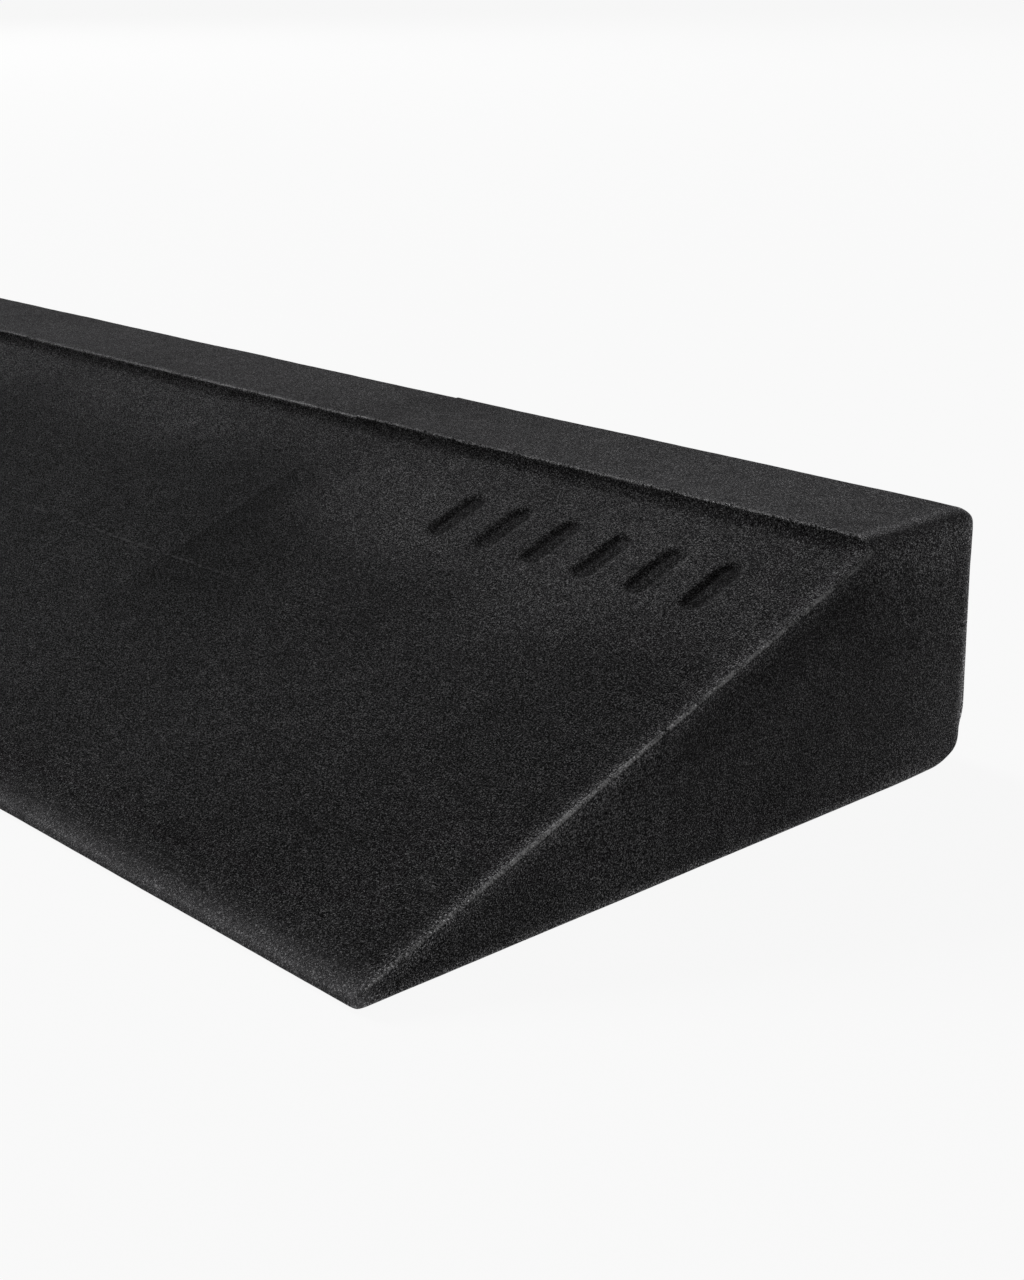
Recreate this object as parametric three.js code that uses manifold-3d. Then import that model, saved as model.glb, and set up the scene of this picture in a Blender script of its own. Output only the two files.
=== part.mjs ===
// Foam slant board: a long, firm wedge to stand or stretch on, with a flat shelf along its high back edge.
// It is three sections glued end to end, each a base layer and a top layer of closed-cell foam.
// Millimetres. +Z is up, +X runs along the board, and the toe (the thin edge) faces -Y. The origin is the
// middle of the underside.
import * as THREE from 'three';
import { mergeVertices } from 'three/addons/utils/BufferGeometryUtils.js';
import Module from 'manifold-3d';

// Overall
const boardLength = 600;
const boardDepth = 208;
const boardHeight = 69;

// Side profile
const shelfDepth = 46;
const stepHeight = 3.7;
const toeHeight = 4;
const toeTopRadius = 3;
const toeBottomRadius = 1.2;
const backTopRadius = 3;
const backBottomRadius = 12;
const stepFootRadius = 4;

// Rounding at the two ends
const shelfEndRadius = 5.5;
const slopeEndRadius = 1.5;
const baseEndRadius = 1.5;
const backCornerRadius = 5;
const toeCornerRadius = 3;

// Layers, sections and the glue between them
const baseLayerHeight = 38;
const endSectionLength = 200;
const glueThickness = 0.3;

// Row of pressed-in grip slots on the right-hand section
const slotCount = 6;
const slotWidth = 9;
const slotLength = 22.5;
const slotDepth = 1.2;
const slotPitch = 19;
const slotBelowStep = 15.5;
const slotsFromEnd = 25;

const arcSteps = 8;
const cutterOverrun = 2;

// Worked out from the sizes above
const toeY = -boardDepth / 2;
const backY = boardDepth / 2;
const stepY = backY - shelfDepth;
const endX = boardLength / 2;
const jointX = endX - endSectionLength;
const slopeTop = new THREE.Vector2(stepY, boardHeight - stepHeight);
const slopeFoot = new THREE.Vector2(toeY, toeHeight);
const slopeAngle = slopeTop.clone().sub(slopeFoot).angle();
const slopeNormal = new THREE.Vector3(0, -Math.sin(slopeAngle), Math.cos(slopeAngle));

const foam = new THREE.MeshStandardMaterial({ color: 0x1c1c1e, roughness: 0.92, metalness: 0 });
const glue = new THREE.MeshStandardMaterial({ color: 0x2b2a28, roughness: 0.7, metalness: 0 });

const wasm = await Module();
wasm.setup();

function solidFrom(geometry) {
  const bare = geometry.clone().deleteAttribute('normal').deleteAttribute('uv');
  const merged = mergeVertices(bare, 1e-4);
  const mesh = new wasm.Mesh({
    numProp: 3,
    vertProperties: new Float32Array(merged.attributes.position.array),
    triVerts: new Uint32Array(merged.index.array),
  });
  return new wasm.Manifold(mesh);
}

function meshFrom(solid, name, material) {
  const { vertProperties, triVerts } = solid.getMesh();
  const geometry = new THREE.BufferGeometry();
  geometry.setAttribute('position', new THREE.BufferAttribute(vertProperties, 3));
  geometry.setIndex(new THREE.BufferAttribute(triVerts, 1));
  geometry.computeVertexNormals();
  const mesh = new THREE.Mesh(geometry, material.clone());
  mesh.name = name;
  return mesh;
}

// Points of an arc that rounds the corner at `corner`, between its neighbours `before` and `after`.
function roundedCorner(before, corner, after, radius) {
  const toBefore = before.clone().sub(corner).normalize();
  const toAfter = after.clone().sub(corner).normalize();
  const halfAngle = Math.acos(toBefore.dot(toAfter)) / 2;
  const tangentLength = radius / Math.tan(halfAngle);
  const bisector = toBefore.clone().add(toAfter).normalize();
  const centre = corner.clone().addScaledVector(bisector, radius / Math.sin(halfAngle));
  const start = corner.clone().addScaledVector(toBefore, tangentLength).sub(centre);
  const end = corner.clone().addScaledVector(toAfter, tangentLength).sub(centre);
  const sweep = Math.atan2(start.cross(end), start.dot(end));
  const points = [];
  for (let i = 0; i <= arcSteps; i++) {
    const turned = start.clone().rotateAround(new THREE.Vector2(), (sweep * i) / arcSteps);
    points.push(turned.add(centre));
  }
  return points;
}

// Side profile in the Y-Z plane, from the toe's lower edge round to its upper edge.
function sideProfile() {
  const corners = [
    [new THREE.Vector2(toeY, 0), toeBottomRadius],
    [new THREE.Vector2(backY, 0), backBottomRadius],
    [new THREE.Vector2(backY, boardHeight), backTopRadius],
    [new THREE.Vector2(stepY, boardHeight), 0],
    [slopeTop, stepFootRadius],
    [slopeFoot, toeTopRadius],
  ];
  const points = corners.flatMap(([corner, radius], i) => {
    if (radius === 0) return [corner];
    const before = corners[(i + corners.length - 1) % corners.length][0];
    const after = corners[(i + 1) % corners.length][0];
    return roundedCorner(before, corner, after, radius);
  });
  return new THREE.Shape(points);
}

// The side profile run the whole length of the board.
function squareEndedBoard() {
  const geometry = new THREE.ExtrudeGeometry(sideProfile(), { depth: boardLength, bevelEnabled: false });
  const alongX = new THREE.Matrix4().makeBasis(
    new THREE.Vector3(0, 1, 0),
    new THREE.Vector3(0, 0, 1),
    new THREE.Vector3(1, 0, 0),
  );
  geometry.applyMatrix4(alongX.setPosition(-endX, 0, 0));
  return solidFrom(geometry);
}

// What is cut away to round the edge where two faces meet. `at` is the middle of the edge, and `faceA` and
// `faceB` point out of the two faces.
function edgeCutter(radius, length, at, faceA, faceB) {
  const outer = radius + cutterOverrun;
  const shape = new THREE.Shape();
  shape.moveTo(outer, outer);
  shape.lineTo(0, outer);
  for (let i = 0; i <= arcSteps; i++) {
    const angle = (Math.PI / 2) * (1 - i / arcSteps);
    shape.lineTo(radius * Math.cos(angle), radius * Math.sin(angle));
  }
  shape.lineTo(outer, 0);
  const geometry = new THREE.ExtrudeGeometry(shape, { depth: length, bevelEnabled: false });
  geometry.translate(-radius, -radius, -length / 2);
  const along = new THREE.Vector3().crossVectors(faceA, faceB);
  return geometry.applyMatrix4(new THREE.Matrix4().makeBasis(faceA, faceB, along).setPosition(at));
}

// The rounded edges of the right-hand end.
function rightEndCutters() {
  const outwards = new THREE.Vector3(1, 0, 0);
  const back = new THREE.Vector3(0, 1, 0);
  const front = new THREE.Vector3(0, -1, 0);
  const up = new THREE.Vector3(0, 0, 1);
  const down = new THREE.Vector3(0, 0, -1);
  const slopeMiddle = slopeTop.clone().lerp(slopeFoot, 0.5);
  const acrossLength = boardDepth + cutterOverrun;
  const uprightLength = boardHeight + cutterOverrun;
  const slopeLength = slopeTop.distanceTo(slopeFoot) + cutterOverrun;
  const edges = [
    [shelfEndRadius, acrossLength, [0, boardHeight], up, outwards],
    [baseEndRadius, acrossLength, [0, 0], outwards, down],
    [backCornerRadius, uprightLength, [backY, boardHeight / 2], outwards, back],
    [toeCornerRadius, uprightLength, [toeY, boardHeight / 2], front, outwards],
    [slopeEndRadius, slopeLength, slopeMiddle.toArray(), slopeNormal, outwards],
  ];
  return edges.map(([radius, length, [y, z], faceA, faceB]) =>
    edgeCutter(radius, length, new THREE.Vector3(endX, y, z), faceA, faceB),
  );
}

// The same shape on the other side of the Y-Z plane, with its faces still pointing out.
function mirrored(geometry) {
  const flat = geometry.index ? geometry.toNonIndexed() : geometry.clone();
  const position = flat.getAttribute('position');
  for (let i = 0; i < position.count; i += 3) {
    const corners = [0, 2, 1].map((j) => new THREE.Vector3().fromBufferAttribute(position, i + j));
    corners.forEach((corner, j) => position.setXYZ(i + j, -corner.x, corner.y, corner.z));
  }
  return flat;
}

// One round-ended slot pressed into the slope, its long side running down the slope. `x` is its centre.
function slotCutter(x) {
  const half = slotWidth / 2;
  const straight = slotLength / 2 - half;
  const shape = new THREE.Shape();
  shape.absarc(0, straight, half, 0, Math.PI, false);
  shape.absarc(0, -straight, half, Math.PI, 2 * Math.PI, false);
  const depth = slotDepth + cutterOverrun;
  const geometry = new THREE.ExtrudeGeometry(shape, { depth, bevelEnabled: false, curveSegments: arcSteps });
  geometry.translate(0, -slotBelowStep - slotLength / 2, -slotDepth);
  geometry.rotateX(slopeAngle);
  return geometry.translate(x, slopeTop.x, slopeTop.y);
}

function slotCutters() {
  const firstX = endX - slotsFromEnd - slotWidth / 2;
  return Array.from({ length: slotCount }, (_, i) => slotCutter(firstX - i * slotPitch));
}

// The outside of the whole board, before it is divided into pieces.
function wholeBoard() {
  const rightEnd = rightEndCutters();
  const cutters = [...rightEnd, ...rightEnd.map(mirrored), ...slotCutters()];
  return cutters.reduce((board, cutter) => board.subtract(solidFrom(cutter)), squareEndedBoard());
}

// The part of the board between two X values and two Z values. Neighbours share these values, so their
// faces meet exactly.
function cutOut(board, xRange, zRange) {
  const box = new THREE.BoxGeometry(1, 1, 1);
  const position = box.getAttribute('position');
  for (let i = 0; i < position.count; i++) {
    const x = xRange[position.getX(i) < 0 ? 0 : 1];
    const z = zRange[position.getZ(i) < 0 ? 0 : 1];
    position.setXYZ(i, x, position.getY(i) * 2 * boardDepth, z);
  }
  return board.intersect(solidFrom(box));
}

function slantBoard() {
  const board = wholeBoard();
  const group = new THREE.Group();
  const add = (name, material, xRange, zRange) =>
    group.add(meshFrom(cutOut(board, xRange, zRange), name, material));

  const halfGlue = glueThickness / 2;
  const below = -cutterOverrun;
  const above = boardHeight + cutterOverrun;
  const topLayerZ = baseLayerHeight + glueThickness;
  const sections = {
    left: [-endX - cutterOverrun, -jointX - halfGlue],
    middle: [-jointX + halfGlue, jointX - halfGlue],
    right: [jointX + halfGlue, endX + cutterOverrun],
  };
  for (const [section, xRange] of Object.entries(sections)) {
    add(`base_layer_${section}`, foam, xRange, [below, baseLayerHeight]);
    add(`layer_glue_${section}`, glue, xRange, [baseLayerHeight, topLayerZ]);
    add(`top_layer_${section}`, foam, xRange, [topLayerZ, above]);
  }
  for (const [joint, x] of Object.entries({ left: -jointX, right: jointX })) {
    add(`joint_glue_${joint}`, glue, [x - halfGlue, x + halfGlue], [below, above]);
  }
  return group;
}

export default slantBoard();
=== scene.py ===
import math

import bpy
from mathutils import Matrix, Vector


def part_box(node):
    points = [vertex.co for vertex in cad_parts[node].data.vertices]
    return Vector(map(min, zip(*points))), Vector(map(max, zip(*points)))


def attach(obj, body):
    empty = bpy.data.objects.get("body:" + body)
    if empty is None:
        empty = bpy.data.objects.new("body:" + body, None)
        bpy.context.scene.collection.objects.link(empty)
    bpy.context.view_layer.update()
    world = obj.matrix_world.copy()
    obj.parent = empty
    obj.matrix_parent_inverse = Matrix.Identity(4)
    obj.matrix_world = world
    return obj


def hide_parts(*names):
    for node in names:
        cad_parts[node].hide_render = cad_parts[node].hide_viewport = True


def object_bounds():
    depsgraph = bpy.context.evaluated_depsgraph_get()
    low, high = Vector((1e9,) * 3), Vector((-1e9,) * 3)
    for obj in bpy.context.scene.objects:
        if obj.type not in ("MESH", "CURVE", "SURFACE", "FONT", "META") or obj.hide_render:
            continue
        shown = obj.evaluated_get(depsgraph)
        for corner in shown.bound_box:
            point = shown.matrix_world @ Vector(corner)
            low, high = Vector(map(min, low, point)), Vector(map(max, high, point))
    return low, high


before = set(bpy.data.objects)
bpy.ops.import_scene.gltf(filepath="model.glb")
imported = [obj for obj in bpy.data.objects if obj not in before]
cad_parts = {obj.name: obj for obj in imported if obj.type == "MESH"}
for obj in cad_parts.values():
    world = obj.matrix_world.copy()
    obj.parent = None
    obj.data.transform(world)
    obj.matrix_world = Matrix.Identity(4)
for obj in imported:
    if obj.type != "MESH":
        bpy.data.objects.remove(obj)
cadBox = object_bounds()

# Foam slant board: six foam blocks and the glue between them, all shaped by one node tree.
# The blocks share the outer skin worked out here, so their faces run on from one to the next.

boardLow, boardHigh = cadBox
endX = boardHigh.x
toeY = boardLow.y
backY = boardHigh.y
shelfZ = boardHigh.z
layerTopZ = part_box("base_layer_middle")[1].z
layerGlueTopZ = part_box("top_layer_middle")[0].z
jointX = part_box("joint_glue_right")[1].x

skin = {
    "shelfDepth": 0.046,
    "stepHeight": 0.0037,
    "toeHeight": 0.004,
    "stepFootRadius": 0.0040,
    "lipRadius": 0.0006,       # crisp on the end sections
    "wornLipRadius": 0.0013,   # rubbed rounder on the middle one
    "lipReach": 0.0030,        # how far from the lip its paler edge spreads: painted highlight on partly rubbed foam
    "stepReach": 0.004,        # how far from the step's face its shape still counts
}
stepY = backY - skin["shelfDepth"]
slopeTopZ = shelfZ - skin["stepHeight"]
slopeRise = (slopeTopZ - skin["toeHeight"]) / (stepY - toeY)
slopeAngle = math.atan(slopeRise)


def slopeZ(y):
    return skin["toeHeight"] + (y - toeY) * slopeRise


def slopeY(z):
    return toeY + (z - skin["toeHeight"]) / slopeRise


print("skin: slope", round(math.degrees(slopeAngle), 2), "degrees, step at y", round(stepY, 4))


def filletPoints(before, corner, after, radius, steps):
    # points of the arc that rounds a corner of an outline
    toBefore = (Vector(before) - Vector(corner)).normalized()
    toAfter = (Vector(after) - Vector(corner)).normalized()
    half = toBefore.angle(toAfter) / 2
    centre = Vector(corner) + (toBefore + toAfter).normalized() * (radius / math.sin(half))
    start = Vector(corner) + toBefore * (radius / math.tan(half)) - centre
    end = Vector(corner) + toAfter * (radius / math.tan(half)) - centre
    sweep = start.angle_signed(end)
    points = []
    for i in range(steps + 1):
        turn = -sweep * i / steps
        c, s = math.cos(turn), math.sin(turn)
        points.append(centre + Vector((start.x * c - start.y * s, start.x * s + start.y * c)))
    return points


def between(a, b, spacing):
    # evenly spaced points from a up to but not including b
    a, b = Vector(a), Vector(b)
    count = max(1, round((b - a).length / spacing))
    return [a.lerp(b, i / count) for i in range(count)]


outline = {
    "slopeSpacing": 0.0010,
    "shelfSpacing": 0.0010,
    "edgeSpacing": 0.0004,    # close to the toe and the step
    "stepSpacing": 0.0006,    # the last of the slope
    "backSpacing": 0.0007,    # the last of the shelf
    "hiddenSpacing": 0.0025,  # faces glued to another block
    "edgeZone": 0.004,
    "backZone": 0.016,
    "footPieces": 7,          # straight pieces in each arc
    "lipPieces": 4,
}


def skinOutline(startY, lipRadius):
    # the outer skin in side view, from startY on the slope up over the step to the back edge
    top = Vector((stepY, slopeTopZ))
    lip = Vector((stepY, shelfZ))
    start = Vector((startY, slopeZ(startY)))
    zone = outline["edgeZone"]
    foot = filletPoints(start, top, lip, skin["stepFootRadius"], outline["footPieces"])
    edge = filletPoints(top, lip, (backY, shelfZ), lipRadius, outline["lipPieces"])
    points = []
    if startY <= toeY + zone:
        nearToe = Vector((toeY + zone, slopeZ(toeY + zone)))
        points += between(start, nearToe, outline["edgeSpacing"])
        start = nearToe
    nearStep = Vector((stepY - 2 * zone, slopeZ(stepY - 2 * zone)))
    points += between(start, nearStep, outline["slopeSpacing"])
    points += between(nearStep, foot[0], outline["stepSpacing"])
    points += foot
    points += between(foot[-1], edge[0], outline["edgeSpacing"])[1:]
    points += edge
    nearBack = Vector((backY - outline["backZone"], shelfZ))
    points += between(edge[-1], nearBack, outline["shelfSpacing"])[1:]
    points += between(nearBack, (backY, shelfZ), outline["backSpacing"])
    points.append(Vector((backY, shelfZ)))
    return points


def flatOutline(ys, z):
    return [Vector((y, z)) for y in ys]


def spread(startY, count):
    # count values of y from startY to the back face
    return [startY + (backY - startY) * i / (count - 1) for i in range(count)]


class Field:
    # a node socket that can be added, multiplied and so on, each step being one Math node
    def __init__(self, tree, socket):
        self.tree = tree
        self.socket = socket

    def math(self, operation, *others):
        return mathNode(self.tree, operation, self, *others)

    def __add__(self, other):
        return self.math("ADD", other)

    def __radd__(self, other):
        return mathNode(self.tree, "ADD", other, self)

    def __sub__(self, other):
        return self.math("SUBTRACT", other)

    def __rsub__(self, other):
        return mathNode(self.tree, "SUBTRACT", other, self)

    def __mul__(self, other):
        return self.math("MULTIPLY", other)

    def __rmul__(self, other):
        return mathNode(self.tree, "MULTIPLY", other, self)

    def __truediv__(self, other):
        return self.math("DIVIDE", other)

    def __rtruediv__(self, other):
        return mathNode(self.tree, "DIVIDE", other, self)

    def __pow__(self, other):
        return self.math("POWER", other)

    def clamped(self):
        return self.math("MAXIMUM", 0.0).math("MINIMUM", 1.0)

    def root(self):
        return self.math("SQRT")


def plug(tree, socket, value):
    if isinstance(value, Field):
        tree.links.new(value.socket, socket)
    elif isinstance(value, bpy.types.NodeSocket):
        tree.links.new(value, socket)
    else:
        socket.default_value = value


def mathNode(tree, operation, *values):
    node = tree.nodes.new("ShaderNodeMath")
    node.operation = operation
    for socket, value in zip(node.inputs, values):
        plug(tree, socket, value)
    return Field(tree, node.outputs[0])


def addNode(tree, kind, inputs=None, **settings):
    node = tree.nodes.new(kind)
    for name, value in settings.items():
        setattr(node, name, value)
    for name, value in (inputs or {}).items():
        plug(tree, node.inputs[name], value)
    return node


def smoothStep(tree, value, low, high):
    node = addNode(tree, "ShaderNodeMapRange", interpolation_type="SMOOTHSTEP")
    for socket, part in zip(node.inputs[:5], (value, low, high, 0.0, 1.0)):
        plug(tree, socket, part)
    return Field(tree, node.outputs[0])


def xyz(tree, vector):
    node = addNode(tree, "ShaderNodeSeparateXYZ", {"Vector": vector})
    return [Field(tree, node.outputs[i]) for i in range(3)]


def joined(tree, x, y, z):
    node = addNode(tree, "ShaderNodeCombineXYZ", {"X": x, "Y": y, "Z": z})
    return node.outputs[0]


def distance(first, second):
    return (first * first + second * second).root()


def newTree(name, inputs):
    # a geometry tree with named inputs and one mesh in and out
    tree = bpy.data.node_groups.new(name, "GeometryNodeTree")
    tree.interface.new_socket(name="Geometry", in_out="INPUT", socket_type="NodeSocketGeometry")
    tree.interface.new_socket(name="Geometry", in_out="OUTPUT", socket_type="NodeSocketGeometry")
    kinds = {int: "NodeSocketInt", float: "NodeSocketFloat", type(None): "NodeSocketMaterial"}
    for inputName, value in inputs.items():
        socket = tree.interface.new_socket(
            name=inputName, in_out="INPUT", socket_type=kinds[type(value)])
        if value is not None:
            socket.default_value = value
    start = tree.nodes.new("NodeGroupInput")
    end = tree.nodes.new("NodeGroupOutput")
    given = {name: Field(tree, start.outputs[name]) for name in inputs}
    return tree, start.outputs["Geometry"], given, end.inputs["Geometry"]


blockDefaults = {
    "Left face": -0.1,
    "Right face": 0.1,
    "Stations along": 160,
    "Rows up": 30,
    "Crowding left": 1.0,     # over 1, the stations crowd towards that end
    "Crowding right": 1.0,
    "Shelf back radius": 0.0032,
    "Base end radius": 0.0015,
    "Base back radius": 0.0155,
    "Toe top radius": 0.0036,
    "Toe bottom radius": 0.0012,
    "Back corner radius": 0.0058,
    "Back lean": 0.0022,      # the back face leans in this much towards the top
    "Back crown": 0.0011,     # and curves in this much more over the top part
    "Heel rise": 0.0012,      # the underside lifts this much along the back edge
    "Heel length": 0.035,
    "Toe corner radius": 0.003,
    "Rim height": 0.0005,
    "Rim width": 0.0035,
    "Wander": 0.0006,
    "Wander size": 0.045,
    "Ripple": 0.00014,
    "Ripple size": 0.006,
    "Lip tearing": 0.00045,
    "Lip tear size": 0.0014,
    "Crumb share": 0.10,      # of the points along a torn edge
    "Crumb size": 0.00034,
    "Lift": 0.0,              # raises or lowers all but the underside
    "Slots": 0,               # how many there are
    "Slot width": 0.009,
    "Slot length": 0.0225,
    "Slot depth": 0.0011,
    "Slot pitch": 0.019,
    "Slot below step": 0.0155,
    "Slot from end": 0.025,
    "Slot edge": 0.0022,
    "Seed": 7,
}
blockShape = {
    "leanLevel": 0.9,         # the back face stands true at this share of the height
    "crownStart": 0.65,       # and its crown begins at this one
    "wornReach": 1.1,         # how far an end's worn edge spreads, against its radius
    "skinDepth": 0.0012,      # the edges are marked down to this depth
    "floorGrip": 0.006,       # the wander fades out this close to the floor
    "mergeDistance": 2e-6,
}
noiseSeeds = {"wander": 0.0, "ripple": 3.0, "tear": 9.0}


def cornerShift(a, b, radius):
    # how far a point moves inwards from two faces, a and b away, where their edge is rounded
    u = (1.0 - a / radius).clamped()
    v = (1.0 - b / radius).clamped()
    shiftA = radius * u * (1.0 - (1.0 - v * v * 0.5).root())
    shiftB = radius * v * (1.0 - (1.0 - u * u * 0.5).root())
    return shiftA, shiftB


def roundedTop(fromFace, below, z, radius):
    inwards, down = cornerShift(fromFace, below, radius)
    return fromFace + inwards, z - down


def roundedBottom(fromFace, z, radius):
    inwards, lift = cornerShift(fromFace, z, radius)
    return fromFace + inwards, z + lift


def sampled(tree, geometry, name, index):
    # an attribute of the outline, or its position, at a column
    if name == "position":
        value = addNode(tree, "GeometryNodeInputPosition").outputs[0]
        node = addNode(tree, "GeometryNodeSampleIndex", data_type="FLOAT_VECTOR", domain="POINT")
    else:
        value = namedFloat(tree, name)
        node = addNode(tree, "GeometryNodeSampleIndex", data_type="FLOAT", domain="POINT")
    plug(tree, node.inputs["Geometry"], geometry)
    plug(tree, node.inputs["Value"], value)
    plug(tree, node.inputs["Index"], index)
    return Field(tree, node.outputs[0])


def namedFloat(tree, name):
    node = addNode(tree, "GeometryNodeInputNamedAttribute", {"Name": name}, data_type="FLOAT")
    return Field(tree, node.outputs[0])


def noiseVector(tree, size, seed, detail):
    # three noises between about -0.5 and 0.5 that change over the given size
    texture = addNode(tree, "ShaderNodeTexNoise", noise_dimensions="4D")
    plug(tree, texture.inputs["W"], seed)
    plug(tree, texture.inputs["Scale"], 1.0 / size)
    texture.inputs["Detail"].default_value = detail
    return [channel - 0.5 for channel in xyz(tree, texture.outputs["Color"])]


def storeFloat(tree, geometry, name, value):
    node = addNode(tree, "GeometryNodeStoreNamedAttribute", {"Geometry": geometry, "Name": name},
                   data_type="FLOAT", domain="POINT")
    plug(tree, node.inputs["Value"], value)
    return node.outputs["Geometry"]


def randomFloat(tree, low, high, seed):
    node = addNode(tree, "FunctionNodeRandomValue", data_type="FLOAT")
    plug(tree, node.inputs[2], low)
    plug(tree, node.inputs[3], high)
    plug(tree, node.inputs["Seed"], seed)
    return Field(tree, node.outputs[1])


crumbLook = {
    "wornShare": 0.8,          # how torn a worn end edge is, against the lip
    "tornRange": (0.35, 0.8),  # from the first crumbs to the most
    "scales": ((0.5, 1.5), (0.4, 1.0), (0.4, 1.2)),    # least and most, along each axis
    "chanceSeed": 21,
    "turnSeed": 22,
    "scaleSeed": 23,
}


def addCrumbs(tree, mesh, given):
    # specks of torn foam that cling along the lip and the end edges
    seed = given["Seed"]
    wornEdge = namedFloat(tree, "worn") * crumbLook["wornShare"]
    torn = (namedFloat(tree, "lip") ** 2.0).math("MAXIMUM", wornEdge)
    chance = randomFloat(tree, 0.0, 1.0, seed + crumbLook["chanceSeed"])
    share = given["Crumb share"] * smoothStep(tree, torn, *crumbLook["tornRange"])
    spots = addNode(tree, "GeometryNodeMeshToPoints", {
        "Mesh": mesh, "Selection": share.math("GREATER_THAN", chance)})
    speck = addNode(tree, "GeometryNodeMeshIcoSphere", {
        "Radius": given["Crumb size"], "Subdivisions": 1})
    turn = addNode(tree, "FunctionNodeRandomValue", data_type="FLOAT_VECTOR")
    plug(tree, turn.inputs[1], (math.tau, math.tau, math.tau))
    plug(tree, turn.inputs["Seed"], seed + crumbLook["turnSeed"])
    spin = addNode(tree, "FunctionNodeEulerToRotation", {"Euler": turn.outputs[0]})
    scale = joined(tree, *(randomFloat(tree, least, most, seed + (crumbLook["scaleSeed"] + axis))
                           for axis, (least, most) in enumerate(crumbLook["scales"])))
    crumbs = addNode(tree, "GeometryNodeInstanceOnPoints", {
        "Points": spots.outputs[0], "Instance": speck.outputs[0],
        "Rotation": spin.outputs[0], "Scale": scale})
    both = addNode(tree, "GeometryNodeJoinGeometry")
    tree.links.new(crumbs.outputs[0], both.inputs[0])
    tree.links.new(mesh, both.inputs[0])
    return both.outputs[0]


def pressedShare(tree, given, x, y):
    # 1 on the floor of a pressed slot and 0 outside it, one slot every pitch from the right end
    halfWidth = given["Slot width"] * 0.5
    firstSlot = endX - given["Slot from end"] - halfWidth
    slotIndex = ((firstSlot - x) / given["Slot pitch"]).math("ROUND")
    slotIndex = slotIndex.math("MAXIMUM", 0.0).math("MINIMUM", given["Slots"] - 1.0)
    acrossSlot = (x - (firstSlot - slotIndex * given["Slot pitch"])).math("ABSOLUTE")
    downSlope = (stepY - y) / math.cos(slopeAngle)
    straight = given["Slot length"] * 0.5 - halfWidth
    slotMiddle = given["Slot below step"] + given["Slot length"] * 0.5
    pastStraight = ((downSlope - slotMiddle).math("ABSOLUTE") - straight).math("MAXIMUM", 0.0)
    toSlotEdge = distance(acrossSlot, pastStraight) - halfWidth
    pressed = 1.0 - smoothStep(tree, toSlotEdge, given["Slot edge"] * -1.0, 0.0)
    return pressed * given["Slots"].math("MINIMUM", 1.0)


def backBend(given, fromBack, z):
    # how far the back face moves back at this height, and how far the heel lifts there
    crownShare = (z / shelfZ - blockShape["crownStart"]) / (1 - blockShape["crownStart"])
    lean = given["Back lean"] * (blockShape["leanLevel"] - z / shelfZ)
    lean = lean - given["Back crown"] * crownShare.clamped() ** 2.0
    lean = lean * (1.0 - fromBack / skin["shelfDepth"]).clamped()
    heel = (1.0 - fromBack / given["Heel length"]).clamped() ** 2.0
    heel = heel * (1.0 - z / given["Heel length"]).clamped()
    return lean, given["Heel rise"] * heel


def roundedEdges(given, x, y, z, belowSkin, endRadius):
    # the ends first, then the back and the toe, then the upright corners
    side = x.math("SIGN")
    fromEnd = endX - x.math("ABSOLUTE")
    fromEnd, z = roundedTop(fromEnd, belowSkin, z, endRadius)
    fromEnd, z = roundedBottom(fromEnd, z, given["Base end radius"])

    fromBack = backY - y
    lean, heelLift = backBend(given, fromBack, z)
    fromBack, z = roundedTop(fromBack, shelfZ - z, z, given["Shelf back radius"])
    fromBack, z = roundedBottom(fromBack, z, given["Base back radius"])
    z = z + heelLift
    y = backY - fromBack + lean

    fromToe = y - toeY
    slopeHere = skin["toeHeight"] + fromToe * slopeRise
    fromToe, z = roundedTop(fromToe, slopeHere - z, z, given["Toe top radius"])
    fromToe, z = roundedBottom(fromToe, z, given["Toe bottom radius"])

    endIn, toeIn = cornerShift(fromEnd, fromToe, given["Toe corner radius"])
    fromEnd = fromEnd + endIn
    y = toeY + (fromToe + toeIn)
    endIn, backIn = cornerShift(fromEnd, backY - y, given["Back corner radius"])
    return side * (endX - (fromEnd + endIn)), y - backIn, z


def wanderOffset(tree, given):
    # hand-cut foam is never quite straight: the same slow wander runs through every block
    z = xyz(tree, addNode(tree, "GeometryNodeInputPosition").outputs[0])[2]
    offFloor = smoothStep(tree, z, 0.0, blockShape["floorGrip"])
    seeds = {name: given["Seed"] + offset for name, offset in noiseSeeds.items()}
    wander = noiseVector(tree, given["Wander size"], seeds["wander"], detail=1.0)
    ripple = noiseVector(tree, given["Ripple size"], seeds["ripple"], detail=1.0)
    tear = noiseVector(tree, given["Lip tear size"], seeds["tear"], detail=2.0)
    lip = namedFloat(tree, "lip")
    moves = [slow * given["Wander"] + fine * given["Ripple"] for slow, fine in zip(wander, ripple)]
    for axis in (1, 2):
        moves[axis] = moves[axis] + tear[axis] * given["Lip tearing"] * lip ** 2.0
    return joined(tree, moves[0], moves[1], (moves[2] + given["Lift"]) * offFloor)


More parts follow.
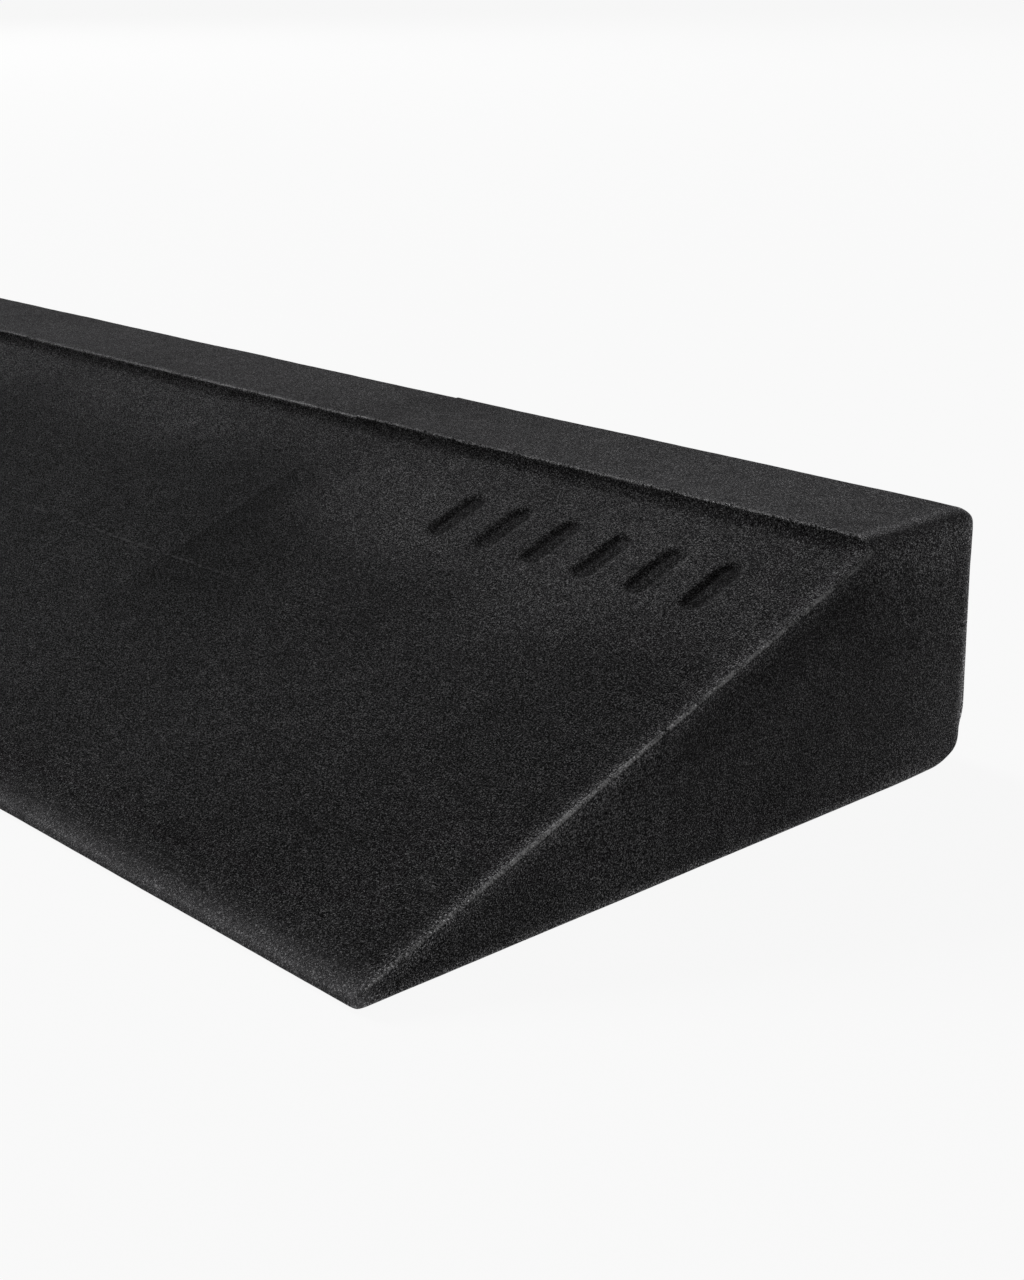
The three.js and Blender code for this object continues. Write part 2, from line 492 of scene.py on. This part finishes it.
def makeBlockTree():
    tree, outlineIn, given, out = newTree("foamBlock", {**blockDefaults, "Material": None})

    # a lattice box: x runs along the board, y over the outline's columns, z from under to over
    counted = addNode(tree, "GeometryNodeAttributeDomainSize", {"Geometry": outlineIn},
                      component="MESH")
    columns = Field(tree, counted.outputs["Point Count"])
    box = addNode(tree, "GeometryNodeMeshCube", {
        "Size": (1.0, 1.0, 1.0),
        "Vertices X": given["Stations along"],
        "Vertices Y": columns,
        "Vertices Z": given["Rows up"],
    })
    lattice = xyz(tree, addNode(tree, "GeometryNodeInputPosition").outputs[0])
    column = ((lattice[1] + 0.5) * (columns - 1.0)).math("ROUND")
    up = (lattice[2] + 0.5).clamped()

    # rows crowd towards the under and over curves, and stations towards a rounded end
    up = up * up * (3.0 - 2.0 * up)
    along = (lattice[0] + 0.5).clamped() ** given["Crowding left"]
    along = 1.0 - (1.0 - along).math("MAXIMUM", 0.0) ** given["Crowding right"]
    x = given["Left face"] + (given["Right face"] - given["Left face"]) * along

    # each column runs straight from the under curve to the over curve
    overY, overZ = xyz(tree, sampled(tree, outlineIn, "position", column))[1:]
    at = {name: sampled(tree, outlineIn, name, column) for name in outlineNames}
    y = at["underY"] + (overY - at["underY"]) * up
    z = at["underZ"] + (overZ - at["underZ"]) * up

    # the end of the slope turns up into a low rim where it meets the step
    fromEnd = endX - x.math("ABSOLUTE")
    rim = (fromEnd / given["Rim width"]) ** 2.0
    rim = given["Rim height"] * at["rimShare"] * (rim * -1.0).math("EXPONENT")
    z = z + rim * up

    pressed = pressedShare(tree, given, x, y) * up
    y = y + pressed * given["Slot depth"] * math.sin(slopeAngle)
    z = z - pressed * given["Slot depth"] * math.cos(slopeAngle)

    belowSkin = (at["skinZ"] + rim - z).math("MAXIMUM", 0.0)
    wornReach = at["endRadius"] * blockShape["wornReach"]
    worn = (1.0 - fromEnd / wornReach).clamped() * (1.0 - belowSkin / wornReach).clamped()
    x, y, z = roundedEdges(given, x, y, z, belowSkin, at["endRadius"])

    atSkin = smoothStep(tree, belowSkin, blockShape["skinDepth"], 0.0)
    marks = {
        "lip": at["lipShare"] * atSkin,
        "foot": at["footShare"] * atSkin,
        "worn": worn * at["slopeShare"],
        "pressed": pressed,
    }
    shape = box.outputs["Mesh"]
    for name, value in marks.items():
        shape = storeFloat(tree, shape, name, value)
    place = joined(tree, x, y, z)
    placed = addNode(tree, "GeometryNodeSetPosition", {"Geometry": shape, "Position": place})
    wandered = addNode(tree, "GeometryNodeSetPosition", {
        "Geometry": placed.outputs[0], "Offset": wanderOffset(tree, given)})
    merged = addNode(tree, "GeometryNodeMergeByDistance", {
        "Geometry": wandered.outputs[0], "Distance": blockShape["mergeDistance"]})
    crumbed = addCrumbs(tree, merged.outputs[0], given)
    real = addNode(tree, "GeometryNodeRealizeInstances", {"Geometry": crumbed})
    smooth = addNode(tree, "GeometryNodeSetShadeSmooth", {"Geometry": real.outputs[0]})
    painted = addNode(tree, "GeometryNodeSetMaterial", {"Geometry": smooth.outputs[0]})
    plug(tree, painted.inputs["Material"], given["Material"])
    tree.links.new(painted.outputs[0], out)
    return tree


ends = {
    "slopeRadius": 0.0012,
    "lipEndRadius": 0.0045,    # the shelf's end edge, tight by the lip
    "backEndRadius": 0.0055,   # and rounder towards the back
    "rimLength": 0.035,        # how far down the slope the rim reaches
    "underSkin": 0.0005,       # further under the slope than this is not skin
    "facePast": 0.3,           # the step's face: no more lip radii than this past the step
    "faceBelow": 0.5,          # and no fewer than this below the shelf
    "facePull": 3,             # the paler lip, a painted highlight, fades this much faster down that face
    "footOverrun": 0.001,      # the painted light on the step's face stops this far below the step
}
outlineNames = ("underY", "underZ", "skinZ", "endRadius", "rimShare", "lipShare", "footShare",
                "slopeShare")


def unit(value):
    return min(1.0, max(0.0, value))


def outlineValues(over, under, lipRadius):
    # what the tree needs at a column, in the order of outlineNames
    byStep = over.x > stepY - skin["stepReach"]
    climbed = unit((over.y - slopeTopZ) / skin["stepHeight"]) if byStep else 0.0
    if over.y < slopeZ(over.x) - ends["underSkin"]:
        climbed = unit((over.x - stepY) / skin["stepReach"])
    backwards = unit((over.x - stepY) / skin["shelfDepth"])
    shelfEnd = ends["lipEndRadius"] * (1 - backwards) + ends["backEndRadius"] * backwards
    endRadius = ends["slopeRadius"] * (1 - climbed) + shelfEnd * climbed
    skinZ = max(over.y, min(slopeZ(over.x), shelfZ))
    downSlope = max(0.0, stepY - over.x)
    rimShare = max(0.0, 1 - downSlope / ends["rimLength"]) ** 2 * (1 - climbed)

    belowShelf = shelfZ - over.y
    onFace = (over.x < stepY + ends["facePast"] * lipRadius
              and belowShelf > ends["faceBelow"] * lipRadius)
    lipDistance = (Vector((stepY, shelfZ)) - over).length * (ends["facePull"] if onFace else 1)
    lipShare = max(0.0, 1 - lipDistance / skin["lipReach"])
    onFoot = onFace and byStep and belowShelf < skin["stepHeight"] + ends["footOverrun"]
    footShare = max(0.0, 1 - belowShelf / skin["stepHeight"]) if onFoot else 0.0
    return under.x, under.y, skinZ, endRadius, rimShare, lipShare, footShare, 1 - climbed


def outlineMesh(name, over, under, lipRadius):
    # the outline as loose points: the over curve, with the tree's values at each column
    mesh = bpy.data.meshes.new(name)
    mesh.from_pydata([(0.0, p.x, p.y) for p in over], [], [])
    rows = [outlineValues(p, q, lipRadius) for p, q in zip(over, under)]
    for attribute, numbers in zip(outlineNames, zip(*rows)):
        mesh.attributes.new(attribute, "FLOAT", "POINT").data.foreach_set("value", numbers)
    return mesh


def creaseSeam(mesh):
    # the slope is cut off flat at the top of the base layer, so its shading stops there too
    seamY = slopeY(layerTopZ)
    near = 0.0006
    atSeam = [abs(v.co.y - seamY) < near and abs(v.co.z - layerTopZ) < near for v in mesh.vertices]
    for edge in mesh.edges:
        if all(atSeam[i] for i in edge.vertices):
            edge.use_edge_sharp = True


# an edge stays hard where its two faces turn by more than this many degrees
sharpAngle = {"foam": 42, "film": 15}


def makeBlock(node, material, over, under, lipRadius, settings):
    # one piece: the tree run on its outline, then made a plain mesh
    name = node + "_outline"
    drawn = bpy.data.objects.new(name, outlineMesh(name, over, under, lipRadius))
    bpy.context.scene.collection.objects.link(drawn)
    modifier = drawn.modifiers.new("foamBlock", "NODES")
    modifier.node_group = blockTree
    sockets = {s.name: s.identifier for s in blockTree.interface.items_tree if s.in_out == "INPUT"}
    for socketName, value in {**settings, "Material": material}.items():
        modifier[sockets[socketName]] = value
    evaluated = drawn.evaluated_get(bpy.context.evaluated_depsgraph_get())
    mesh = bpy.data.meshes.new_from_object(evaluated)
    kind = "film" if "glue" in node else "foam"
    mesh.set_sharp_from_angle(angle=math.radians(sharpAngle[kind]))
    if "base" in node:
        creaseSeam(mesh)
    piece = bpy.data.objects.new(node + "_" + kind, mesh)
    bpy.context.scene.collection.objects.link(piece)
    bpy.data.objects.remove(drawn)
    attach(piece, "root")
    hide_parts(node)
    mesh.calc_loop_triangles()
    print("made", piece.name, len(mesh.loop_triangles), "triangles")
    return piece


foamLook = {
    "deep": (0.0020, 0.0020, 0.0021),    # down in the open cells
    "body": (0.0165, 0.0162, 0.0168),
    "fleck": (0.120, 0.119, 0.121),      # cut cell walls that catch the light
    # painted highlight on partly rubbed foam, along the slope's end edge and the lip
    "wearAndHighlight": (0.420, 0.417, 0.420),
    "cellSize": 0.00029,
    "lumpSize": 1.2,          # lumps of cells, against one cell
    "lumpRange": (0.3, 0.7),
    "speckShare": 0.45,       # the grain is this much cells, and the rest lumps
    "pitRange": (0.12, 0.55),
    "fleckRange": (0.50, 0.95),
    "mottleSize": 0.007,
    "mottleGain": 0.6,
    "patchSize": 0.07,
    "patchGain": 0.6,
    "roughness": 0.9,
    "bump": 1.0,
    "bumpDepth": 0.00045,
    "sheen": 0.004,
    "sheenRoughness": 0.35,
    "gloss": 0.002,
    "paintedSlopeShade": 0.455,       # painted shade: the slope's tone against the shelf's, standing in for the light the shelf catches
    "litBandLow": 0.0250,     # how far the painted light band below the step reaches down the slope
    "litBandHigh": 0.0490,    # and how far it does close to the right-hand end
    "litBandWander": 0.03,
    "litBandBlend": 0.016,
    "litBandGain": 0.62,
    "edgeGlowGain": 0.8,      # from here to footGain: how much painted light is added at that mask
    "edgeNearGain": 0.5,
    "toeGain": 0.42,
    "toeFaceGain": 1.4,
    "baseGain": 1.8,
    "backGain": 1.0,
    "backCornerGain": 6.0,
    "lipGlowGain": 0.35,
    "endBackGain": 0.8,
    "endTopGain": 1.1,
    "onEndGain": 0.14,
    "shelfEndGain": 0.15,
    "footGain": 0.3,
    "browShade": 0.75,        # painted shade: what is left of the tone on the end face under the slope's edge
    "jointShade": 0.66,       # what is left of the tone on the right of the joint
    "jointBandWash": 0.8,         # how much of that the painted light band washes out where it crosses it
    "slotShade": 0.4,         # what is left of the tone in the slots
    # how much painted highlight, on partly rubbed foam, lies along the lip
    "lipWearAndHighlight": 0.12,
    "lipWearAndHighlightMiddle": 0.32,     # the middle section's lip, rubbed rounder, gets more painted highlight
    "wearAndHighlightRange": (0.20, 0.75),
    "shelfCalm": 0.35,        # how much quieter the grain is on the shelf
    "toeCalm": 0.5,           # and along the toe
}
# the masks where painted light is added to the foam's tone
paintedLightMasks = ("edgeNear", "toe", "toeFace", "base", "back", "backCorner", "lipGlow",
             "endBack", "endTop", "onEnd", "shelfEnd")


def noiseField(tree, point, size, detail, roughness=0.5):
    node = addNode(tree, "ShaderNodeTexNoise", {
        "Vector": point, "Scale": 1.0 / size, "Detail": detail, "Roughness": roughness})
    return Field(tree, node.outputs["Fac"])


def mixColours(tree, share, first, second):
    node = addNode(tree, "ShaderNodeMix", data_type="RGBA")
    plug(tree, node.inputs[0], share)
    for socket, value in ((node.inputs[6], first), (node.inputs[7], second)):
        plug(tree, socket, (*value, 1.0) if isinstance(value, tuple) else value)
    return node.outputs[2]


def attributeField(tree, name):
    return Field(tree, addNode(tree, "ShaderNodeAttribute", attribute_name=name).outputs["Fac"])


def scaled(tree, colour, gain):
    node = addNode(tree, "ShaderNodeVectorMath", {0: colour}, operation="SCALE")
    plug(tree, node.inputs["Scale"], gain)
    return node.outputs[0]


def foamGrain(tree, point, look, calm=0.0):
    # open cells: dark pits, grey walls and a few bright flecks
    cells = addNode(tree, "ShaderNodeTexVoronoi", {
        "Vector": point, "Scale": 1.0 / look["cellSize"]})
    speck = xyz(tree, cells.outputs["Color"])[0]
    lumpSize = look["cellSize"] * look["lumpSize"]
    lumps = noiseField(tree, point, lumpSize, detail=2.0, roughness=0.6)
    lumps = smoothStep(tree, lumps, *look["lumpRange"])
    grain = speck * look["speckShare"] + lumps * (1 - look["speckShare"])
    grain = grain + (0.5 - grain) * calm
    walls = smoothStep(tree, grain, *look["pitRange"])
    flecks = smoothStep(tree, grain, *look["fleckRange"])
    colour = mixColours(tree, walls, look["deep"], look["body"])
    colour = mixColours(tree, flecks, colour, look["fleck"])
    return grain, colour


# where each mask begins and where it is full, in metres from its own edge, face or section
maskReach = {
    "front": (0.0015, -0.0010),
    "awayFromStep": (0.0, 0.045),
    "edgeLine": (0.0011, 0.0004),
    "edgeGlow": (0.0060, 0.0008),
    "edgeNear": (0.0024, 0.0010),
    "toe": (0.0130, 0.0),
    "toeFace": (0.0045, 0.0003),
    "base": (0.0035, 0.0003),
    "baseOnEnd": (0.004, 0.002),
    "back": (0.0055, 0.0),
    "backCorner": (0.0070, 0.0005),
    "nearEnd": (0.008, 0.002),
    "onEnd": (0.004, 0.001),
    "endBack": (0.0500, 0.0050),
    "endTop": (0.0180, 0.0010),
    "endTopSide": (-0.003, 0.005),
    "brow": (0.022, 0.005),
    "browRise": (-0.06, 0.03),
    "browOnEnd": (0.003, 0.001),
    "skin": (0.0020, 0.0005),
    "shelf": (0.003, 0.001),
    "shelfFront": (0.0, 0.003),
    "middleFromLeft": (-0.12, 0.09),
    "middleFromRight": (0.12, 0.095),
    "joint": (-0.0004, 0.0004),
    "jointAlong": (0.175, 0.105),
    "jointDown": (0.115, 0.070),
    "towardsEnd": (0.05, 0.24),
    "rightEnd": (0.0, 0.1),
    "lipLine": (0.60, 0.85),     # these two are in shares of the lip's own fading
    "lipGlow": (0.0, 0.9),
}
edgeByStep = 0.25      # what is left of the slope's end edge close to the step
toeFalloff = 1.5


def edgeMasks(tree, point):
    # how near a point of the skin is to each edge, 1 at the edge itself
    def within(name, value, start=0.0):
        begins, full = maskReach[name]
        return smoothStep(tree, value, start + begins, start + full)

    x, y, z = xyz(tree, point)
    fromEnd = endX - x.math("ABSOLUTE")
    fromBack = backY - y
    downSlope = stepY - y
    belowSlope = (skin["toeHeight"] + (y - toeY) * slopeRise - z).math("MAXIMUM", 0.0)
    toEdge = distance(fromEnd, belowSlope)
    lip = attributeField(tree, "lip")
    front = within("front", y, stepY)
    awayFromStep = front * (edgeByStep + within("awayFromStep", downSlope) * (1 - edgeByStep))
    onEnd = within("onEnd", fromEnd)
    nearEnd = within("nearEnd", fromEnd)
    rightEnd = within("rightEnd", x)
    onShelf = within("shelf", shelfZ - z) * within("shelfFront", y, stepY)
    towardsEnd = within("towardsEnd", x)
    return {
        "edgeLine": within("edgeLine", toEdge) * awayFromStep,
        "edgeGlow": within("edgeGlow", toEdge) * front,
        "edgeNear": within("edgeNear", toEdge) * awayFromStep,
        "toe": within("toe", y - toeY) ** toeFalloff,
        "toeFace": within("toeFace", y - toeY),
        "base": within("base", z) * within("baseOnEnd", fromEnd),
        "back": within("back", fromBack),
        "backCorner": within("backCorner", fromBack) * nearEnd * rightEnd,
        "onEnd": onEnd * rightEnd,
        "endBack": within("endBack", fromBack) * onEnd * rightEnd,
        "endTop": within("endTop", shelfZ - z) * nearEnd * within("endTopSide", y, stepY)
                  * rightEnd,
        "brow": within("brow", belowSlope) * within("browRise", y) * within("browOnEnd", fromEnd),
        "lipLine": within("lipLine", lip),
        "lipGlow": within("lipGlow", lip),
        "foot": attributeField(tree, "foot"),
        "pressed": attributeField(tree, "pressed"),
        "sloping": front * within("skin", belowSlope),
        "downSlope": downSlope,
        "onShelf": onShelf,
        "shelfEnd": onShelf * towardsEnd,
        "middle": within("middleFromLeft", x) * within("middleFromRight", x),
        "besideJoint": within("joint", x, jointX) * within("jointAlong", x)
                       * within("jointDown", downSlope),
        "towardsEnd": towardsEnd,
    }


def newMaterial(name):
    material = bpy.data.materials.new(name)
    material.use_nodes = True
    return material, material.node_tree, material.node_tree.nodes["Principled BSDF"]


def dress(tree, shader, colour, height, roughness):
    # the foam and its glue have the same bump and the same lack of gloss
    bump = addNode(tree, "ShaderNodeBump", {
        "Strength": foamLook["bump"], "Distance": foamLook["bumpDepth"], "Height": height})
    plug(tree, shader.inputs["Base Color"], colour)
    plug(tree, shader.inputs["Normal"], bump.outputs["Normal"])
    shader.inputs["Roughness"].default_value = roughness
    shader.inputs["Specular IOR Level"].default_value = foamLook["gloss"]


def makeFoam(look):
    material, tree, shader = newMaterial("blackFoam")
    point = addNode(tree, "ShaderNodeTexCoord").outputs["Object"]
    near = edgeMasks(tree, point)

    calm = near["onShelf"] * look["shelfCalm"] + near["toe"] * look["toeCalm"]
    grain, colour = foamGrain(tree, point, look, calm)
    mottle = noiseField(tree, point, look["mottleSize"], detail=3.0, roughness=0.55)
    patch = noiseField(tree, point, look["patchSize"], detail=2.0)

    # painted light: the slope is paler along a slanting band below the step
    reach = look["litBandLow"] + (look["litBandHigh"] - look["litBandLow"]) * near["towardsEnd"]
    reach = reach + (patch - 0.5) * look["litBandWander"]
    blend = look["litBandBlend"]
    litBand = smoothStep(tree, near["downSlope"] - reach, blend, -blend) * near["sloping"]

    # painted shade: the slope is darker than the shelf, standing in for the light the shelf
    # catches
    gain = 1.0 - near["sloping"] * (1.0 - look["paintedSlopeShade"])
    # painted light: the band, the slope's end edge, the toe, the back, the end face and the lip
    # are made paler
    gain = gain * (1.0 + litBand * look["litBandGain"] + near["edgeGlow"] * look["edgeGlowGain"])
    for mask in paintedLightMasks:
        gain = gain + near[mask] * look[mask + "Gain"]
    shade = 1.0 + (mottle - 0.5) * look["mottleGain"] + (patch - 0.5) * look["patchGain"]
    # painted light on the step's face, lifting its shade
    shade = shade * gain * (1.0 + near["foot"] * look["footGain"])
    # painted shade on the end face under the slope's edge
    shade = shade * (1.0 - near["brow"] * (1.0 - look["browShade"]))
    joint = near["besideJoint"] * near["sloping"] * (1.0 - litBand * look["jointBandWash"])
    shade = shade * (1.0 - joint * (1.0 - look["jointShade"]))
    shade = shade * (1.0 - near["pressed"] * (1.0 - look["slotShade"]))

    # painted highlight on partly rubbed foam along the slope's end edge and the lip, broken up by
    # the grain
    lipWearAndHighlight = look["lipWearAndHighlight"] + (look["lipWearAndHighlightMiddle"] - look["lipWearAndHighlight"]) * near["middle"]
    wearAndHighlight = near["edgeLine"] + near["lipLine"] * lipWearAndHighlight
    wearAndHighlight = wearAndHighlight * smoothStep(tree, mottle * 0.5 + grain * 0.5, *look["wearAndHighlightRange"])
    colour = mixColours(tree, wearAndHighlight.clamped(), scaled(tree, colour, shade), look["wearAndHighlight"])
    dress(tree, shader, colour, grain + mottle * 0.5, look["roughness"])
    shader.inputs["Sheen Weight"].default_value = look["sheen"]
    shader.inputs["Sheen Roughness"].default_value = look["sheenRoughness"]
    return material


glueLook = {
    "bead": (0.0280, 0.0276, 0.0280),
    "beadSize": 0.0022,
    "beadRange": (0.45, 0.62),
    "beadShift": 0.03,      # the beads are thickest this far to the left of the right joint
    "beadCore": 0.02,       # and as thick for this far on either side
    "beadReach": 0.11,      # then thin out as far as this
    "fewBeads": 0.10,       # the share of them elsewhere
    # painted shade on the slope, as on the foam
    "paintedSlopeShade": 0.42,
    # painted light on the end face, as on the foam
    "endGain": 0.25,
    "roughness": 0.85,
    "clearOfEnd": 0.006,    # the seam is rubbed out near the two end faces
}


def makeGlue(look):
    # set glue is as black as the foam, with paler dried beads here and there
    material, tree, shader = newMaterial("setGlue")
    point = addNode(tree, "ShaderNodeTexCoord").outputs["Object"]
    pointX = xyz(tree, point)[0]
    grain, colour = foamGrain(tree, point, foamLook)

    beads = noiseField(tree, point, look["beadSize"], detail=2.0)
    beads = smoothStep(tree, beads, *look["beadRange"])
    fromThickest = (pointX - jointX + look["beadShift"]).math("ABSOLUTE")
    thick = smoothStep(tree, fromThickest, look["beadReach"], look["beadCore"])
    beads = beads * (look["fewBeads"] + (1.0 - look["fewBeads"]) * thick)
    fromEnd = endX - pointX.math("ABSOLUTE")
    beads = beads * smoothStep(tree, fromEnd, 0.5 * look["clearOfEnd"], look["clearOfEnd"])

    near = edgeMasks(tree, point)
    # painted shade on the slope and painted light on the end face, as on the foam
    tone = 1.0 - near["sloping"] * (1.0 - look["paintedSlopeShade"]) + near["onEnd"] * look["endGain"]
    colour = mixColours(tree, beads, scaled(tree, colour, tone), look["bead"])
    dress(tree, shader, colour, grain + beads * 0.5, look["roughness"])
    return material


foam = makeFoam(foamLook)
glue = makeGlue(glueLook)
blockTree = makeBlockTree()
print("materials and block tree ready")

sections = {
    "left": {"Crowding left": 1.35, "Stations along": 170, "Lift": -0.0003},
    "middle": {"Stations along": 160, "Lift": -0.0003},
    "right": {"Crowding right": 1.35, "Stations along": 215},
}
lipRadii = {
    "left": skin["lipRadius"],
    "middle": skin["wornLipRadius"],
    "right": skin["lipRadius"],
}


def sideFaces(node):
    # where a piece begins and ends along the board
    low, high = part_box(node)
    return {"Left face": low.x, "Right face": high.x}


baseLayer = {"Rows up": 42}


def makeBaseLayer(section):
    node = "base_layer_" + section
    slopeEndY = slopeY(layerTopZ)
    over = skinOutline(toeY, lipRadii[section])
    over = [p for p in over if p.x < slopeEndY - outline["edgeSpacing"]]
    over.append(Vector((slopeEndY, layerTopZ)))
    nearBack = Vector((backY - outline["backZone"], layerTopZ))
    over += between(over[-1], nearBack, outline["hiddenSpacing"])[1:]
    over += between(nearBack, (backY, layerTopZ), outline["shelfSpacing"])
    over.append(Vector((backY, layerTopZ)))
    under = flatOutline([p.x for p in over], 0.0)
    settings = {**sections[section], **sideFaces(node), **baseLayer}
    return makeBlock(node, foam, over, under, lipRadii[section], settings)


topLayer = {"Rows up": 36}
gripSlots = {"right": {"Slots": 6}}


def makeTopLayer(section):
    node = "top_layer_" + section
    over = skinOutline(slopeY(layerGlueTopZ), lipRadii[section])
    under = flatOutline(spread(over[0].x, len(over)), layerGlueTopZ)
    settings = {**sections[section], **sideFaces(node), **topLayer, **gripSlots.get(section, {})}
    return makeBlock(node, foam, over, under, lipRadii[section], settings)


layerGlue = {"Rows up": 2, "Crumb share": 0.0}
layerGlueColumns = 70


def makeLayerGlue(section):
    node = "layer_glue_" + section
    over = flatOutline(spread(slopeY(layerGlueTopZ), layerGlueColumns), layerGlueTopZ)
    under = flatOutline(spread(slopeY(layerTopZ), layerGlueColumns), layerTopZ)
    settings = {**sections[section], **sideFaces(node), **layerGlue}
    return makeBlock(node, glue, over, under, lipRadii[section], settings)


jointGlue = {"Stations along": 2, "Rows up": 40, "Crumb share": 0.0, "Lift": -0.0003}
leastStep = 1e-6    # between two columns of the joint's underside


def makeJointGlue(joint):
    node = "joint_glue_" + joint
    over = skinOutline(toeY, lipRadii["right"])
    under = flatOutline([p.x for p in over], 0.0)
    for previous, point in zip(under, under[1:]):
        if point.x <= previous.x:
            point.x = previous.x + leastStep
    return makeBlock(node, glue, over, under, lipRadii["right"], {**sideFaces(node), **jointGlue})


foamPieces = []
for section in sections:
    foamPieces += [makeBaseLayer(section), makeTopLayer(section)]
    makeLayerGlue(section)
for joint in ("left", "right"):
    makeJointGlue(joint)


studio = {
    "floorSize": 44.0,
    "kerbHeight": 2.0,       # the floor turns up this much at its far edges
    "floorDrop": 0.0001,
    "floorGlow": 0.925,
    "paper": 0.01,
    "worldStrength": 0.30,
}


def makeFloor():
    half = studio["floorSize"] / 2
    around = [(-half, -half), (half, -half), (half, half), (-half, half)]
    corners = [(x, y, z) for z in (0.0, studio["kerbHeight"]) for x, y in around]
    sides = len(around)
    kerb = [(i + sides, (i + 1) % sides + sides, (i + 1) % sides, i) for i in range(sides)]
    mesh = bpy.data.meshes.new("studioFloor")
    mesh.from_pydata(corners, [], [tuple(range(sides))] + kerb)
    floor = bpy.data.objects.new("studioFloor", mesh)
    bpy.context.scene.collection.objects.link(floor)
    floor.location.z = -studio["floorDrop"]
    paper, _, shader = newMaterial("studioPaper")
    shader.inputs["Base Color"].default_value = (*[studio["paper"]] * 3, 1)
    shader.inputs["Roughness"].default_value = 1.0
    shader.inputs["Specular IOR Level"].default_value = 0.0
    shader.inputs["Emission Color"].default_value = (1, 1, 1, 1)
    shader.inputs["Emission Strength"].default_value = studio["floorGlow"]
    mesh.materials.append(paper)


def makeWorld():
    world = bpy.data.worlds.new("studioWorld")
    bpy.context.scene.world = world
    world.use_nodes = True
    background = world.node_tree.nodes["Background"]
    background.inputs["Color"].default_value = (1, 1, 1, 1)
    background.inputs["Strength"].default_value = studio["worldStrength"]


# each light's place, what it points at, its size in metres and its power in watts
lights = {
    "backBox": {
        "place": Vector((-6.60, 1.15, 4.40)),
        "target": Vector((0.0, 0.0, 0.05)),
        "size": 2.5,
        "watts": 2220.0,
    },
}


def makeLights():
    for name, values in lights.items():
        data = bpy.data.lights.new(name, "AREA")
        data.shape = "SQUARE"
        data.size = values["size"]
        data.energy = values["watts"]
        lamp = bpy.data.objects.new(name, data)
        lamp.location = values["place"]
        aim = values["target"] - values["place"]
        lamp.rotation_euler = aim.to_track_quat("-Z", "Y").to_euler()
        bpy.context.scene.collection.objects.link(lamp)


camera = {
    "place": Vector((0.5910, -0.3314, 0.1995)),
    "tilt": 18.08,     # degrees down
    "turn": 47.15,     # degrees from straight on, towards the left
    "lens": 57.38,
    "sensorWidth": 36.0,
    "clipStart": 0.01,
}


def makeCamera():
    data = bpy.data.cameras.new("studioCamera")
    data.lens = camera["lens"]
    data.sensor_width = camera["sensorWidth"]
    data.clip_start = camera["clipStart"]
    eye = bpy.data.objects.new("studioCamera", data)
    eye.location = camera["place"]
    eye.rotation_euler = (math.radians(90 - camera["tilt"]), 0, math.radians(camera["turn"]))
    bpy.context.scene.collection.objects.link(eye)
    bpy.context.scene.camera = eye


makeFloor()
makeWorld()
makeLights()
makeCamera()
bpy.context.scene.view_settings.view_transform = "Standard"
bpy.context.scene.view_settings.look = "None"
print("studio ready")
